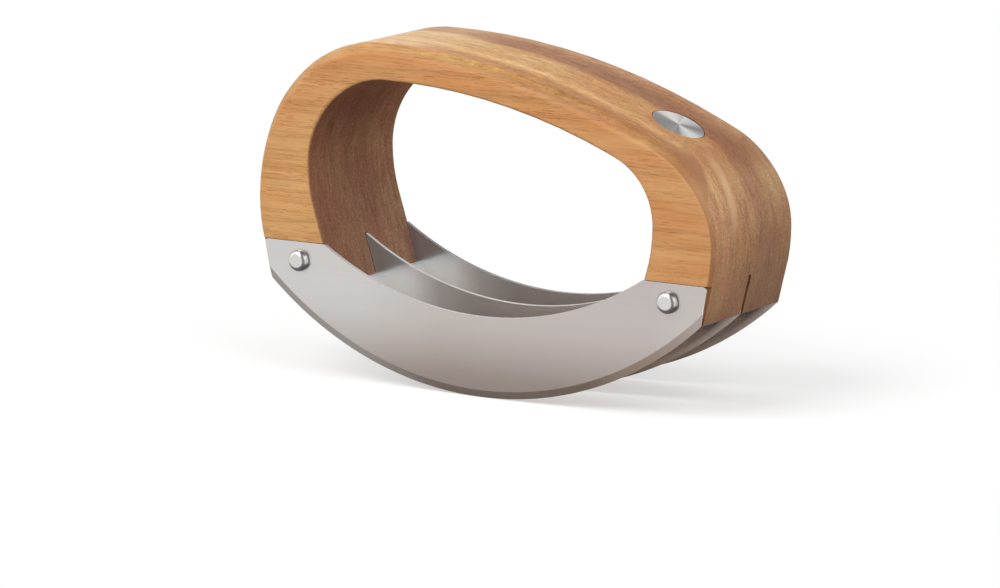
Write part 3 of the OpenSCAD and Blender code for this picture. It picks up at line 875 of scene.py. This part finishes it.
class MEZZALUNA_OT_rivets(bpy.types.Operator):
    """Builds the two rivets, each as a sleeve with a head and a pin with a head"""

    bl_idname = "mezzaluna.rivets"
    bl_label = "Rivets"

    def execute(self, context):
        fittings = context.scene.mezzaluna_fittings
        blades = context.scene.mezzaluna_blades
        width = 2 * blades.pitch + blades.thickness
        steel = rivet_material(tuple(fittings.colour), tuple(fittings.seam_and_shade_colour), width / 2)
        for place, x in (("left", -fittings.rivet_x), ("right", fittings.rivet_x)):
            for part, front in (("sleeve", True), ("pin", False)):
                obj = build_rivet(place + "_round_rivet_" + part, x, front, fittings, width)
                put_material(obj, steel)
                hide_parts(place + "_rivet_" + part)
                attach(obj, "root")
        return {"FINISHED"}


class MEZZALUNA_OT_disc(bpy.types.Operator):
    """Builds the plain spun disc in the crown"""

    bl_idname = "mezzaluna.disc"
    bl_label = "Crown disc"

    def execute(self, context):
        fittings = context.scene.mezzaluna_fittings
        low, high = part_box("crown_disc")
        tilt = fittings.disc_tilt
        radius, thickness, rim_break = 8.5 * MM, 1.5 * MM, 0.3 * MM
        middle = (Vector(low) + Vector(high)) / 2
        obj = add_cylinder(128, radius, thickness, middle, (0, tilt, 0))
        finish_place(obj, "spun_disc")
        up = Vector((math.sin(tilt), 0, math.cos(tilt)))
        bpy.ops.object.mode_set(mode="EDIT")
        select(obj, "EDGE", lambda e: fold(e) > 1.0 and all((v.co - middle).dot(up) > 0 for v in e.verts))
        bpy.ops.mesh.bevel(offset=rim_break, segments=2)
        select(obj, "FACE", lambda f: f.normal.dot(up) > 0.999)
        bpy.ops.mesh.inset(thickness=radius - 2 * rim_break)
        bpy.ops.object.mode_set(mode="OBJECT")
        smooth(obj, 40)
        put_material(obj, disc_material(tuple(fittings.disc_colour), middle, tilt))
        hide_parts("crown_disc")
        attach(obj, "root")
        return {"FINISHED"}


class MEZZALUNA_OT_stage(bpy.types.Operator):
    """Sets the floor, the even light and the camera"""

    bl_idname = "mezzaluna.stage"
    bl_label = "Stage"

    def execute(self, context):
        settings = context.scene.mezzaluna_stage
        scene = context.scene
        bpy.ops.mesh.primitive_plane_add(size=1, location=(0, 0, 0))
        floor = bpy.context.object
        floor.scale = (12, 12, 1)
        finish_place(floor, "floor")
        material = new_material("floor_paint")
        tree = material.node_tree
        link = tree.links.new
        output = add_node(tree, "ShaderNodeOutputMaterial", (600, 0))
        lit = add_node(tree, "ShaderNodeBsdfDiffuse", (-200, 200))
        set_inputs(lit, Color=(*settings.floor_colour, 1))
        white = add_node(tree, "ShaderNodeEmission", (-200, 60))
        set_inputs(white, Strength=1.0)
        shown = add_node(tree, "ShaderNodeMixShader", (100, 200))
        bounced = add_node(tree, "ShaderNodeBsdfDiffuse", (-200, -100))
        set_inputs(bounced, Color=(*settings.floor_bounce, 1))
        # The lit share, which holds the shadow, fades to plain white away from the object
        coords = add_node(tree, "ShaderNodeTexCoord", (-1000, 300))
        reach = add_node(tree, "ShaderNodeVectorMath", (-800, 300), operation="LENGTH")
        fade = add_node(tree, "ShaderNodeMapRange", (-600, 300), interpolation_type="SMOOTHSTEP")
        set_inputs(fade, From_Min=0.09, From_Max=0.24, To_Min=0.45, To_Max=1.0)
        link(coords.outputs["Object"], reach.inputs[0])
        link(reach.outputs["Value"], fade.inputs["Value"])
        link(fade.outputs[0], shown.inputs["Fac"])
        link(lit.outputs[0], shown.inputs[1])
        link(white.outputs[0], shown.inputs[2])
        mix = add_node(tree, "ShaderNodeMixShader", (400, 0))
        link(self.seen(tree), mix.inputs["Fac"])
        link(bounced.outputs[0], mix.inputs[1])
        link(shown.outputs[0], mix.inputs[2])
        link(mix.outputs[0], output.inputs["Surface"])
        put_material(floor, material)

        world = bpy.data.worlds.new("even_light")
        scene.world = world
        world.use_nodes = True
        tree = world.node_tree
        tree.nodes.clear()
        output = add_node(tree, "ShaderNodeOutputWorld", (600, 0))
        mix = add_node(tree, "ShaderNodeMixShader", (400, 0))
        light = add_node(tree, "ShaderNodeBackground", (100, 100))
        set_inputs(light, Color=(1, 1, 1, 1), Strength=settings.world_strength)
        white = add_node(tree, "ShaderNodeBackground", (100, -100))
        set_inputs(white, Color=(1, 1, 1, 1), Strength=1.0)
        tree.links.new(self.seen(tree), mix.inputs["Fac"])
        tree.links.new(light.outputs[0], mix.inputs[1])
        tree.links.new(white.outputs[0], mix.inputs[2])
        tree.links.new(mix.outputs[0], output.inputs["Surface"])

        self.lamp("key_lamp", settings.key_power, 1.2, (-0.45, -1.15, 1.25))
        self.lamp("side_lamp", settings.side_power, 1.2, (1.35, -0.5, 1.1))
        self.lamp("fill_lamp", settings.fill_power, 1.0, (-1.4, -0.7, 0.7))

        camera = bpy.data.cameras.new("camera")
        camera.lens = settings.lens
        camera.sensor_width = 36
        camera.sensor_fit = "HORIZONTAL"
        camera.clip_start = 0.01
        camera.clip_end = 100
        holder = bpy.data.objects.new("camera", camera)
        scene.collection.objects.link(holder)
        holder.location = settings.camera_place
        holder.rotation_euler = settings.camera_turn
        scene.camera = holder
        scene.view_settings.view_transform = "Standard"
        return {"FINISHED"}

    def seen(self, tree):
        """1 for camera, glossy and transmission rays, which show the white background"""
        path = add_node(tree, "ShaderNodeLightPath", (-600, -300))
        first = add_node(tree, "ShaderNodeMath", (-400, -300), operation="ADD", use_clamp=True)
        both = add_node(tree, "ShaderNodeMath", (-200, -300), operation="ADD", use_clamp=True)
        tree.links.new(path.outputs["Is Camera Ray"], first.inputs[0])
        tree.links.new(path.outputs["Is Glossy Ray"], first.inputs[1])
        tree.links.new(first.outputs[0], both.inputs[0])
        tree.links.new(path.outputs["Is Transmission Ray"], both.inputs[1])
        return both.outputs[0]

    def lamp(self, name, power, size, place):
        """Square lamp that shines on the middle of the object"""
        target = (0, 0, 60 * MM)
        data = bpy.data.lights.new(name, "AREA")
        data.shape = "SQUARE"
        data.size = size
        data.energy = power
        obj = bpy.data.objects.new(name, data)
        bpy.context.scene.collection.objects.link(obj)
        obj.location = place
        obj.rotation_euler = (Vector(target) - Vector(place)).to_track_quat("-Z", "Y").to_euler()


class MEZZALUNA_PT_panel(bpy.types.Panel):
    """Lists the pieces of the mezzaluna and their settings"""

    bl_idname = "MEZZALUNA_PT_panel"
    bl_label = "Mezzaluna"
    bl_space_type = "VIEW_3D"
    bl_region_type = "UI"
    bl_category = "Mezzaluna"

    def draw(self, context):
        layout = self.layout
        for title, owner, operators in (
            ("Handle", context.scene.mezzaluna_wood, (MEZZALUNA_OT_handle,)),
            ("Blades", context.scene.mezzaluna_blades, (MEZZALUNA_OT_blades,)),
            ("Fittings", context.scene.mezzaluna_fittings, (MEZZALUNA_OT_rivets, MEZZALUNA_OT_disc)),
            ("Stage", context.scene.mezzaluna_stage, (MEZZALUNA_OT_stage,)),
        ):
            box = layout.box()
            box.label(text=title)
            for name in owner.bl_rna.properties.keys():
                if name not in ("rna_type", "name"):
                    box.prop(owner, name)
            for operator in operators:
                box.operator(operator.bl_idname)


SETTINGS = {
    "mezzaluna_blades": BladeSettings,
    "mezzaluna_wood": WoodSettings,
    "mezzaluna_fittings": FittingSettings,
    "mezzaluna_stage": StageSettings,
}
CLASSES = (
    *SETTINGS.values(), MEZZALUNA_OT_handle, MEZZALUNA_OT_blades, MEZZALUNA_OT_rivets,
    MEZZALUNA_OT_disc, MEZZALUNA_OT_stage, MEZZALUNA_PT_panel,
)


def register():
    for cls in CLASSES:
        bpy.utils.register_class(cls)
    for name, group in SETTINGS.items():
        setattr(bpy.types.Scene, name, PointerProperty(type=group))


def unregister():
    for name in SETTINGS:
        delattr(bpy.types.Scene, name)
    for cls in reversed(CLASSES):
        bpy.utils.unregister_class(cls)


def main():
    register()
    deselect_all()
    bpy.ops.mezzaluna.stage()
    bpy.ops.mezzaluna.handle()
    bpy.ops.mezzaluna.blades()
    bpy.ops.mezzaluna.rivets()
    bpy.ops.mezzaluna.disc()


if __name__ == "__main__":
    main()
